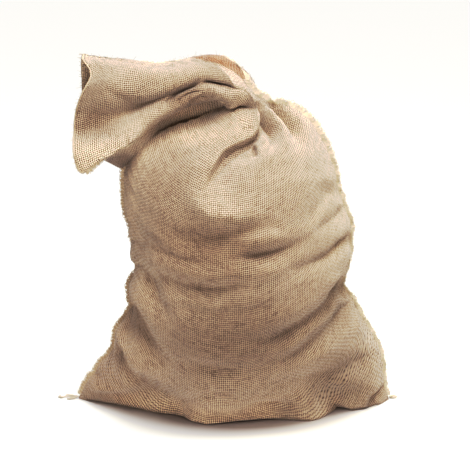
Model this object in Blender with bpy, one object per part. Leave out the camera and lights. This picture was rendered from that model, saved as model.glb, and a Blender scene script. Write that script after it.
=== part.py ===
"""Hessian sack, filled and standing, with its empty neck flopped over to the left.

Metres, +Z up, the sack stands on z = 0, its front faces -Y. One length of cloth is folded across
at the bottom and overlocked up both sides. Its surface is a tube of loops: each row of SECTIONS
is the loop of yarn that lies one distance up the cloth, from the bottom fold to the mouth.
"""

import math
from collections import namedtuple

import bmesh
import bpy
import numpy as np

MM = 0.001

# The cut cloth
FLAT_LENGTH = 1.05
WALL = 0.003  # the neck's wall, where two yarns cross
GAP = 0.0003  # between the cloth and what is sewn along it

# The seams: a whipped edge that stands out from each side, lower where the neck doubles back
SEAM_REACH = 0.011
SEAM_THICK = 0.0056
SEAM_FIRST = 0.008  # up the cloth, just clear of the floor
SEAM_TUCKED = (0.54, 0.94)  # up the cloth, where the left seam runs inside the bend
SEAM_TUCKED_REACH = 0.004

# The sewing thread's frayed ends: a knot at each bottom corner, and strands that run from its sides
# over the floor. Each strand is its route in millimetres from the middle of the knot.
KNOT_SIDES = 8
KNOT_RADIUS = 0.0034
KNOT_CROWN = 0.0055
STRAND_THICK = 0.0022
STRAND_STEPS = 4
LEFT_STRANDS = (
    ((-9, -1), (-18, 1), (-28, -3), (-33, 2)),
    ((-6, 6), (-14, 9), (-20, 6)),
    ((-5, -7), (-11, -12)),
)
RIGHT_STRANDS = (
    ((7, -1), (13, 1)),
    ((5, 6), (9, 10)),
)

# How finely the cloth is divided
FACES_ROUND = 60  # half of them in front
BODY_ROWS = 40
NECK_ROWS = 17
GATHER_AT = 0.76  # up the cloth, where the body is drawn together and the neck begins
HOLLOW = (0.83, 0.90)  # up the cloth, where the neck's inside ends and where it is full width

# One loop of the cloth a row: how far up the cloth it lies, in metres; its points at the left seam,
# the right seam, the middle of the front and the middle of the back, in millimetres; how pinched it
# is at the seams, and how late it leaves their height (below 1 is fuller, above 1 is sharper).
Section = namedtuple("Section", "along left right front back pinch sag")
SECTIONS = (
    Section(0.00, (-283, 4, 3), (303, 4, 3), (8, 4, -20), (8, 4, -20), 1.00, 0.8),
    Section(0.05, (-255, 4, 38), (293, 4, 44), (8, -60, -20), (8, 68, -20), 0.76, 1.2),
    Section(0.10, (-222, 4, 72), (287, 4, 92), (7, -112, -20), (7, 120, -20), 0.72, 1.2),
    Section(0.15, (-214, 0, 124), (266, 6, 137), (6, -146, -10), (6, 154, -10), 0.70, 1.2),
    Section(0.20, (-184, -2, 172), (238, 8, 184), (5, -165, 34), (5, 171, 34), 0.71, 1.2),
    Section(0.25, (-184, 0, 221), (217, 8, 234), (7, -172, 86), (9, 174, 88), 0.74, 1.1),
    Section(0.30, (-171, 4, 268), (225, 6, 282), (9, -173, 136), (11, 171, 138), 0.76, 1.0),
    Section(0.36, (-179, 4, 330), (227, 4, 340), (11, -171, 197), (13, 166, 199), 0.77, 1.0),
    Section(0.43, (-190, 0, 401), (205, 2, 407), (13, -164, 270), (15, 158, 272), 0.78, 1.0),
    Section(0.50, (-184, -10, 463), (186, 0, 473), (13, -152, 340), (17, 146, 341), 0.79, 1.0),
    Section(0.57, (-153, 8, 503), (156, 0, 536), (13, -133, 408), (21, 126, 409), 0.81, 1.0),
    Section(0.63, (-101, 28, 524), (108, 4, 567), (17, -105, 461), (27, 101, 465), 0.85, 1.0),
    Section(0.68, (-51, 32, 542), (68, 6, 581), (27, -76, 504), (36, 78, 510), 0.91, 1.0),
    Section(0.72, (-9, 24, 563), (47, 6, 594), (39, -52, 542), (44, 58, 552), 1.00, 1.0),
    Section(0.76, (13, 12, 580), (19, 2, 627), (46, -32, 580), (49, 44, 596), 1.00, 1.0),
    Section(0.79, (-7, 4, 588), (-13, -2, 641), (23, -36, 606), (27, 46, 622), 1.00, 1.0),
    Section(0.84, (-77, -4, 569), (-63, -4, 646), (-33, -44, 610), (-29, 48, 620), 1.00, 1.0),
    Section(0.90, (-133, -22, 542), (-123, 2, 637), (-95, -56, 600), (-93, 44, 612), 0.95, 1.0),
    Section(0.96, (-178, -38, 512), (-183, 0, 640), (-161, -68, 586), (-155, 38, 600), 0.90, 1.0),
    Section(1.00, (-209, -44, 482), (-221, 0, 646), (-209, -74, 570), (-199, 32, 588), 0.88, 1.0),
    Section(1.05, (-257, -44, 453), (-261, 0, 652), (-279, -74, 544), (-265, 26, 570), 0.85, 1.0),
)

FOLD_LIP = 0.22  # how high a fold's lips rise, as a share of its depth
LIP_AWAY = 2.0  # how far out the lips stand, as a share of the fold's reach
FOLD_END = 0.04  # how little of a fold is missing at its ends
FOLD_TAPER = 0.6  # how slowly it sinks in from them: below 1 is sooner
FOLD_STEPS = 12  # between one point of a fold's line and the next
SEAM_FADE = 0.25  # how far round from a seam a face's folds take to come in, as a share of its width
GATHER_FADE = 0.03  # up the cloth, how far from the gather they take
FLOOR_FADE = 0.05  # up the cloth, how far from the bottom fold they take

# One fold a row, in millimetres: which part and side of the cloth it is in, how deep it sinks (a
# ridge rises, and is negative), how far it reaches to the right and to the left of its line, and the
# line itself, as x, z seen straight on. "Right" is the right hand of someone walking along the line.
Fold = namedtuple("Fold", "part side depth right left line")
FOLDS = (
    # from the gather down the front
    Fold("body", "front", 24, 11, 26, ((56, 548), (42, 510), (19, 495), (-5, 473), (-23, 446), (-34, 416))),
    Fold("body", "front", -14, 44, 30, ((40, 545), (-7, 512), (-52, 470), (-74, 425))),
    Fold("body", "front", 13, 11, 12, ((55, 566), (68, 540), (76, 518), (61, 496))),
    Fold("body", "front", 12, 12, 14, ((67, 570), (91, 548), (108, 524), (124, 494))),
    Fold("body", "front", 7, 12, 14, ((87, 571), (121, 552), (145, 526))),
    Fold("body", "front", -12, 30, 30, ((-36, 396), (4, 416), (44, 444), (70, 470))),
    # slack sags across the front, top to bottom
    Fold("body", "front", 10, 22, 30, ((165, 396), (89, 372), (15, 362), (-65, 366), (-132, 388))),
    Fold("body", "front", 8, 16, 20, ((143, 352), (87, 334), (21, 324))),
    Fold("body", "front", 10, 18, 22, ((229, 336), (192, 320), (144, 308), (98, 304))),
    Fold("body", "front", 9, 20, 28, ((65, 268), (-3, 270), (-87, 284), (-142, 266))),
    Fold("body", "front", 18, 20, 26, ((221, 256), (182, 222), (136, 194), (68, 179), (-7, 182))),
    Fold("body", "front", 12, 16, 20, ((233, 200), (199, 176), (167, 153), (128, 136))),
    Fold("body", "front", 13, 22, 30, ((279, 112), (225, 100), (149, 104), (77, 98))),
    # at the left side, running in from the seam
    Fold("body", "front", 12, 16, 18, ((-187, 292), (-165, 286), (-146, 262), (-130, 228))),
    Fold("body", "front", 15, 18, 22, ((-193, 206), (-165, 173), (-140, 147), (-102, 118), (-57, 100))),
    Fold("body", "front", 13, 14, 18, ((-215, 150), (-191, 133), (-165, 110), (-137, 80))),
    Fold("body", "front", 10, 12, 16, ((-247, 78), (-222, 58), (-189, 30), (-172, 12))),
    # between the right corner and the belly
    Fold("body", "front", 16, 14, 20, ((283, 60), (245, 42), (215, 12))),
    # across the back
    Fold("body", "back", 26, 16, 24, ((53, 520), (85, 486), (105, 446), (113, 410))),
    Fold("body", "back", 14, 14, 16, ((39, 548), (23, 505), (-7, 462), (-47, 428))),
    Fold("body", "back", 10, 12, 14, ((67, 560), (123, 530), (153, 492))),
    Fold("body", "back", 10, 22, 28, ((-157, 380), (-77, 352), (13, 348), (113, 366), (183, 396))),
    Fold("body", "back", 14, 20, 26, ((218, 256), (163, 232), (83, 214), (-7, 224))),
    Fold("body", "back", 13, 18, 24, ((-187, 284), (-137, 252), (-67, 240))),
    Fold("body", "back", 13, 18, 24, ((-197, 200), (-137, 156), (-57, 138), (33, 142))),
    Fold("body", "back", 13, 18, 24, ((263, 140), (193, 118), (113, 94))),
    # along the neck: one valley between its two rolls, and one behind
    Fold("neck", "front", 30, 34, 14, ((-229, 590), (-174, 584), (-102, 602), (-56, 619), (12, 614))),
    Fold("neck", "back", 26, 18, 20, ((-257, 560), (-157, 575), (-67, 600), (-1, 610))),
)


def smooth(keys, values, at):
    """The curve through values at keys, read at each of at: cubic pieces with matching slopes."""
    keys = np.asarray(keys, float)
    values = np.asarray(values, float)
    steps = np.diff(values, axis=0) / np.diff(keys)[:, None]
    slopes = np.vstack((steps[:1], (steps[1:] + steps[:-1]) / 2, steps[-1:]))
    at = np.clip(at, keys[0], keys[-1])
    first = np.clip(np.searchsorted(keys, at, side="right") - 1, 0, len(keys) - 2)
    span = keys[first + 1] - keys[first]
    part = ((at - keys[first]) / span)[..., None]
    span = span[..., None]
    return (
        (2 * part**3 - 3 * part**2 + 1) * values[first]
        + (part**3 - 2 * part**2 + part) * span * slopes[first]
        + (3 * part**2 - 2 * part**3) * values[first + 1]
        + (part**3 - part**2) * span * slopes[first + 1]
    )


def loop_point(along, turn):
    """The cloth's point before it is folded. turn is 0 at the right seam, a half turn at the left."""
    keys = [row.along for row in SECTIONS]
    left = MM * smooth(keys, [row.left for row in SECTIONS], along)
    right = MM * smooth(keys, [row.right for row in SECTIONS], along)
    front = MM * smooth(keys, [row.front for row in SECTIONS], along)
    back = MM * smooth(keys, [row.back for row in SECTIONS], along)
    pinch = smooth(keys, [(row.pinch, row.pinch, row.sag) for row in SECTIONS], along)
    middle = (left + right) / 2
    face = np.where(np.sin(turn)[..., None] > 0, front, back)
    bulge = np.abs(np.sin(turn))[..., None] ** pinch
    return middle + np.cos(turn)[..., None] * (right - left) / 2 + bulge * (face - middle)


def loop_normal(along, turn):
    """Outwards from the cloth."""
    near = 0.002
    up = loop_point(along + near, turn) - loop_point(along - near, turn)
    round_it = loop_point(along, turn + near) - loop_point(along, turn - near)
    normal = np.cross(up, round_it)
    return normal / np.maximum(np.linalg.norm(normal, axis=-1, keepdims=True), 1e-12)


def smooth_line(points, steps):
    """A smooth line through a few points, with this many steps from each to the next."""
    last = len(points) - 1
    return smooth(np.arange(last + 1), MM * np.array(points), np.linspace(0, last, steps * last + 1))


def fold_depth(fold, x, z):
    """How far a fold sinks the cloth at x, z: a soft trough, with a low lip to each side."""
    line = smooth_line(fold.line, FOLD_STEPS)
    part = np.linspace(0, 1, len(line))
    away_x = x[..., None] - line[:, 0]
    away_z = z[..., None] - line[:, 1]
    away = np.hypot(away_x, away_z)
    nearest = away.argmin(axis=-1)
    way = np.gradient(line, axis=0)[nearest]
    near_x = np.take_along_axis(away_x, nearest[..., None], -1)[..., 0]
    near_z = np.take_along_axis(away_z, nearest[..., None], -1)[..., 0]
    on_left = way[..., 0] * near_z - way[..., 1] * near_x > 0
    reach = away.min(axis=-1) / (MM * np.where(on_left, fold.left, fold.right))
    fade = np.sin(math.pi * (FOLD_END + (1 - 2 * FOLD_END) * part[nearest])) ** FOLD_TAPER
    lip = FOLD_LIP * np.exp(-((reach - LIP_AWAY) ** 2))
    return MM * fold.depth * fade * (np.exp(-(reach**2)) - lip)


def cloth_point(along, turn):
    """The folded cloth, pressed flat where it meets the floor."""
    along, turn = np.broadcast_arrays(np.asarray(along, float), np.asarray(turn, float))
    point = loop_point(along, turn)
    in_front = np.sin(turn)
    sink = np.zeros(point.shape[:-1])
    for fold in FOLDS:
        facing = in_front if fold.side == "front" else -in_front
        share = np.clip(facing / SEAM_FADE + 0.5, 0, 1)
        past = (along - GATHER_AT) / GATHER_FADE
        share = share * np.clip(past if fold.part == "neck" else -past, 0, 1)
        sink += share * fold_depth(fold, point[..., 0], point[..., 2])
    sink *= np.clip(along / FLOOR_FADE, 0, 1)
    point = point - sink[..., None] * loop_normal(along, turn)
    point[..., 2] = np.maximum(point[..., 2], 0.0)
    return point


def material(name, colour, roughness):
    made = bpy.data.materials.new(name)
    made.use_nodes = True
    shader = made.node_tree.nodes["Principled BSDF"]
    shader.inputs["Base Color"].default_value = (*colour, 1.0)
    shader.inputs["Roughness"].default_value = roughness
    shader.inputs["Metallic"].default_value = 0.0
    return made


def add_object(name, mesh_data, finish):
    mesh = bpy.data.meshes.new(name)
    mesh_data.to_mesh(mesh)
    mesh_data.free()
    mesh.materials.append(finish)
    mesh.shade_smooth()
    made = bpy.data.objects.new(name, mesh)
    bpy.context.collection.objects.link(made)
    return made


def add_rings(mesh, rings):
    """Rows of vertices, each joined round and to the row before it."""
    rows = [[mesh.verts.new(point) for point in ring] for ring in rings]
    for low, high in zip(rows, rows[1:]):
        for k in range(len(low)):
            after = (k + 1) % len(low)
            mesh.faces.new((low[k], low[after], high[after], high[k]))
    return rows


def sack_cloth(finish):
    """The filled body as one solid, and the neck as a wall round its open inside."""
    turns = np.arange(FACES_ROUND) * 2 * math.pi / FACES_ROUND
    alongs = row_alongs()
    outside = [cloth_point(np.full(FACES_ROUND, along), turns) for along in alongs]
    inside = []
    for along, ring in zip(alongs[::-1], outside[::-1]):
        if along < HOLLOW[0]:
            break
        wall = ring - WALL * loop_normal(np.full(FACES_ROUND, along), turns)
        width = math.sqrt(min((along - HOLLOW[0]) / (HOLLOW[1] - HOLLOW[0]), 1.0))
        inside.append(wall.mean(axis=0) + width * (wall - wall.mean(axis=0)))

    mesh = bmesh.new()
    rows = add_rings(mesh, outside + inside)
    mesh.faces.new(rows[-1])
    bmesh.ops.remove_doubles(mesh, verts=mesh.verts, dist=1e-5)
    bmesh.ops.triangulate(mesh, faces=mesh.faces)
    bmesh.ops.recalc_face_normals(mesh, faces=mesh.faces)
    return add_object("sack_cloth", mesh, finish)


def row_alongs():
    """How far up the cloth each ring of its mesh lies."""
    return np.concatenate(
        (np.linspace(0, GATHER_AT, BODY_ROWS), np.linspace(GATHER_AT, FLAT_LENGTH, NECK_ROWS)[1:])
    )


def whipped_seam(name, turn, tucked, finish):
    """The overlocked edge: a blunt leaf in section, its thin side to the cloth's seam line."""
    alongs = row_alongs()
    alongs[0] = SEAM_FIRST
    line = cloth_point(alongs, turn)
    way = np.gradient(line, axis=0)
    way /= np.linalg.norm(way, axis=1, keepdims=True)
    one_face = 2 * math.pi / FACES_ROUND
    side = cloth_point(alongs, turn + one_face) - cloth_point(alongs, turn - one_face)
    out = np.cross(way, side)
    out /= np.linalg.norm(out, axis=1, keepdims=True)
    side = np.cross(way, out)
    reach = np.full(len(alongs), SEAM_REACH)
    if tucked:
        inside_bend = (alongs > SEAM_TUCKED[0]) & (alongs < SEAM_TUCKED[1])
        reach[inside_bend] = SEAM_TUCKED_REACH
    leaf = ((0.0, 0.0), (0.35, 0.5), (0.8, 0.42), (1.0, 0.0), (0.8, -0.42), (0.35, -0.5))
    rings = []
    for k in range(len(alongs)):
        rings.append(
            [
                line[k] + out[k] * (GAP + far * reach[k]) + side[k] * wide * SEAM_THICK
                for far, wide in leaf
            ]
        )
    mesh = bmesh.new()
    rows = add_rings(mesh, rings)
    mesh.faces.new(rows[0])
    mesh.faces.new(rows[-1])
    bmesh.ops.triangulate(mesh, faces=mesh.faces)
    bmesh.ops.recalc_face_normals(mesh, faces=mesh.faces)
    return add_object(name, mesh, finish)


def thread_tail(name, corner, outwards, routes, finish):
    """A knot a hair's breadth off the corner, and the strands that fray from its sides."""
    middle = MM * np.array(corner) * (1, 1, 0) + (outwards * (KNOT_RADIUS + GAP), 0, 0)
    mesh = bmesh.new()
    low = []
    high = []
    for k in range(KNOT_SIDES):
        turn = (k - 0.5) * 2 * math.pi / KNOT_SIDES
        foot = middle + KNOT_RADIUS * np.array((math.cos(turn), math.sin(turn), 0.0))
        low.append(mesh.verts.new(foot))
        high.append(mesh.verts.new(foot + (0.0, 0.0, STRAND_THICK)))
    crown = mesh.verts.new(middle + (0.0, 0.0, KNOT_CROWN))
    base = mesh.verts.new(middle)
    roots = {}
    for route in routes:
        turn = math.atan2(route[0][1], route[0][0])
        roots[round(turn * KNOT_SIDES / (2 * math.pi)) % KNOT_SIDES] = route
    for k in range(KNOT_SIDES):
        after = (k + 1) % KNOT_SIDES
        mesh.faces.new((high[k], high[after], crown))
        mesh.faces.new((low[after], low[k], base))
        side = (low[k], low[after], high[after], high[k])
        if k in roots:
            add_strand(mesh, side, middle, roots[k])
        else:
            mesh.faces.new(side)
    bmesh.ops.triangulate(mesh, faces=mesh.faces)
    bmesh.ops.recalc_face_normals(mesh, faces=mesh.faces)
    return add_object(name, mesh, finish)


def add_strand(mesh, root, middle, route):
    """One frayed end: four-sided, flat on the floor, thinning from its root to its tip."""
    first = (np.array(root[0].co) + np.array(root[1].co)) / 2 - middle
    points = smooth_line((tuple(first[:2] / MM), *route), STRAND_STEPS)
    way = np.gradient(points, axis=0)
    way /= np.linalg.norm(way, axis=1, keepdims=True)
    ring = root
    for k in range(1, len(points)):
        half = STRAND_THICK / 2 * (1 - 0.6 * k / (len(points) - 1))
        foot = middle + (*points[k], 0.0)
        side = np.array((way[k, 1], -way[k, 0], 0.0)) * half
        up = np.array((0.0, 0.0, 2 * half))
        spots = (foot + side, foot - side, foot - side + up, foot + side + up)
        after = [mesh.verts.new(spot) for spot in spots]
        for n in range(4):
            m = (n + 1) % 4
            mesh.faces.new((ring[n], ring[m], after[m], after[n]))
        ring = after
    mesh.faces.new(ring)


def main():
    for old in list(bpy.data.objects):
        bpy.data.objects.remove(old, do_unlink=True)
    hessian = material("hessian", (0.50, 0.36, 0.22), 0.95)
    thread = material("jute_thread", (0.58, 0.44, 0.28), 0.9)
    sack_cloth(hessian)
    whipped_seam("left_seam", math.pi, True, thread)
    whipped_seam("right_seam", 0.0, False, thread)
    thread_tail("left_thread_tail", SECTIONS[0].left, -1, LEFT_STRANDS, thread)
    thread_tail("right_thread_tail", SECTIONS[0].right, 1, RIGHT_STRANDS, thread)


main()
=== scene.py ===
import math
from collections import namedtuple

import bmesh
import bpy
import numpy as np
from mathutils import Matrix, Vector, noise


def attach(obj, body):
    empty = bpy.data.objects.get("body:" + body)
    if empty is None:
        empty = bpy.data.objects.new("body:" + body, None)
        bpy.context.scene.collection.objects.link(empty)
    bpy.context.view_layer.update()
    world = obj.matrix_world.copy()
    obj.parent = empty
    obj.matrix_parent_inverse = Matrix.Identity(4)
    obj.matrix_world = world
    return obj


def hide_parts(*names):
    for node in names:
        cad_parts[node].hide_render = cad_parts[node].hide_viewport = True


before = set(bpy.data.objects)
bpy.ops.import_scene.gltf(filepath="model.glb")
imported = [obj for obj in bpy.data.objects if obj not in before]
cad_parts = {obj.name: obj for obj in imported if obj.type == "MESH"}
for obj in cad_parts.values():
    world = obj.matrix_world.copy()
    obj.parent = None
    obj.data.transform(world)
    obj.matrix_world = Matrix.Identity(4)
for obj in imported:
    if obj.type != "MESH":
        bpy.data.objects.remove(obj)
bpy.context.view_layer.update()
print("frame loaded")

mm = 0.001
flatLength = 1.05  # of the empty sack laid flat

# camera first: everything else is set against this view
view = {
    "target": (0.013, 0.004, 0.321),
    "elevation": 17.0,
    "distance": 4.5,
    "lens": 186.3,
    "sensor": 36.0,
    "units": 470,  # the view's width, for places in it
    "unit": 1.85,  # mm of one of them at the sack
}
tip = math.radians(view["elevation"])
viewBack = np.array((0.0, -math.cos(tip), math.sin(tip)))
viewUp = np.array((0.0, math.sin(tip), math.cos(tip)))
viewRight = np.array((1.0, 0.0, 0.0))
viewFrom = np.array(view["target"]) + view["distance"] * viewBack


def addCamera():
    bpy.ops.object.camera_add(location=viewFrom)
    camera = bpy.context.object
    camera.name = "camera"
    camera.rotation_euler = Vector(viewBack).to_track_quat("Z", "Y").to_euler()
    camera.data.lens = view["lens"]
    camera.data.sensor_width = view["sensor"]
    camera.data.clip_end = 60.0
    bpy.context.scene.camera = camera


addCamera()


# small maths for shapes

def smoothThrough(keys, values, at):
    # cubic curve through the values, slopes shared at each key
    keys = np.asarray(keys, float)
    values = np.asarray(values, float)
    steps = np.diff(values, axis=0) / np.diff(keys)[:, None]
    slopes = np.vstack((steps[:1], (steps[1:] + steps[:-1]) / 2, steps[-1:]))
    at = np.clip(at, keys[0], keys[-1])
    first = np.clip(np.searchsorted(keys, at, side="right") - 1, 0, len(keys) - 2)
    span = keys[first + 1] - keys[first]
    t = ((at - keys[first]) / span)[..., None]
    span = span[..., None]
    return (
        (2 * t**3 - 3 * t**2 + 1) * values[first]
        + (t**3 - 2 * t**2 + t) * span * slopes[first]
        + (3 * t**2 - 2 * t**3) * values[first + 1]
        + (t**3 - t**2) * span * slopes[first + 1]
    )


def smoothLine(points, steps):
    points = np.asarray(points, float)
    last = len(points) - 1
    return smoothThrough(np.arange(last + 1), points, np.linspace(0, last, steps * last + 1))


def unit(vectors):
    return vectors / np.maximum(np.linalg.norm(vectors, axis=-1, keepdims=True), 1e-12)


def easeIn(value, low, high):
    t = np.clip((value - low) / (high - low), 0, 1)
    return t * t * (3 - 2 * t)


def hump(value, middle, reach):
    return np.exp(-(((value - middle) / reach) ** 2))


def lengthAlong(points):
    # how far each point lies along the line that they make
    return np.concatenate(((0.0,), np.cumsum(np.linalg.norm(np.diff(points, axis=0), axis=1))))


def softNoise(points, size, seed):
    # smooth noise from -1 to 1, one bump about every size metres
    shift = Vector((seed * 7.31, seed * 3.17, seed * 5.73))
    values = [noise.noise(Vector(point) / size + shift) for point in points.reshape(-1, 3)]
    return np.array(values).reshape(points.shape[:-1])


# the sack's surface: each row is the loop of yarn at one distance up the cloth, bottom fold to mouth,
# with its points at the left seam, right seam, middle of the front and middle of the back (mm), then how
# full it bulges between them, level and in height (1 an ellipse, less is fuller)
Loop = namedtuple("Loop", "along left right front back pinch sag")
loops = (
    Loop(0.00, (-283, 4, 3), (303, 4, 3), (8, 4, -20), (8, 4, -20), 1.00, 0.8),
    Loop(0.05, (-255, 4, 38), (293, 4, 44), (8, -60, -20), (8, 68, -20), 0.76, 1.2),
    Loop(0.10, (-222, 4, 72), (287, 4, 92), (7, -112, -20), (7, 120, -20), 0.72, 1.2),
    Loop(0.15, (-214, 0, 124), (266, 6, 137), (6, -146, -10), (6, 154, -10), 0.70, 1.2),
    Loop(0.20, (-184, -2, 172), (238, 8, 184), (5, -165, 34), (5, 171, 34), 0.71, 1.2),
    Loop(0.25, (-184, 0, 221), (217, 8, 234), (7, -172, 86), (9, 174, 88), 0.74, 1.1),
    Loop(0.30, (-171, 4, 268), (225, 6, 282), (9, -173, 136), (11, 171, 138), 0.76, 1.0),
    Loop(0.36, (-179, 4, 330), (227, 4, 340), (11, -171, 197), (13, 166, 199), 0.77, 1.0),
    Loop(0.43, (-190, 0, 401), (205, 2, 407), (13, -164, 270), (15, 158, 272), 0.78, 1.0),
    Loop(0.50, (-184, -10, 463), (186, 0, 473), (13, -152, 340), (17, 146, 341), 0.79, 1.0),
    Loop(0.57, (-153, 8, 503), (156, 0, 536), (13, -133, 408), (21, 126, 409), 0.81, 1.0),
    Loop(0.63, (-101, 28, 524), (108, 4, 567), (17, -105, 461), (27, 101, 465), 0.85, 1.0),
    Loop(0.68, (-51, 32, 542), (68, 6, 581), (27, -76, 504), (36, 78, 510), 0.91, 1.0),
    Loop(0.72, (-9, 24, 563), (47, 6, 594), (39, -52, 542), (44, 58, 552), 1.00, 1.0),
    Loop(0.76, (13, 12, 580), (19, 2, 627), (46, -32, 580), (49, 44, 596), 1.00, 1.0),
    Loop(0.79, (-7, 4, 588), (-13, -2, 641), (23, -36, 606), (27, 46, 622), 1.00, 1.0),
    Loop(0.84, (-77, -4, 569), (-63, -4, 646), (-33, -44, 610), (-29, 48, 620), 1.00, 1.0),
    Loop(0.90, (-133, -22, 542), (-123, 2, 637), (-95, -56, 600), (-93, 44, 612), 0.95, 1.0),
    Loop(0.96, (-178, -38, 512), (-183, 0, 640), (-161, -68, 586), (-155, 38, 600), 0.90, 1.0),
    Loop(1.00, (-209, -44, 482), (-221, 0, 646), (-209, -74, 570), (-199, 32, 588), 0.88, 1.0),
    Loop(1.05, (-257, -44, 453), (-261, 0, 652), (-279, -74, 544), (-265, 26, 570), 0.85, 1.0),
)
gatherAt = 0.76

# the far layer of the neck that shows over the near one at the crest, as its lower edge lies in the view; the
# cloth above this edge is painted in shade
farLayerShade = ((180, 55.5), (186, 57), (204, 60), (220, 64), (233, 71), (243, 80), (250, 91))

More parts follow.
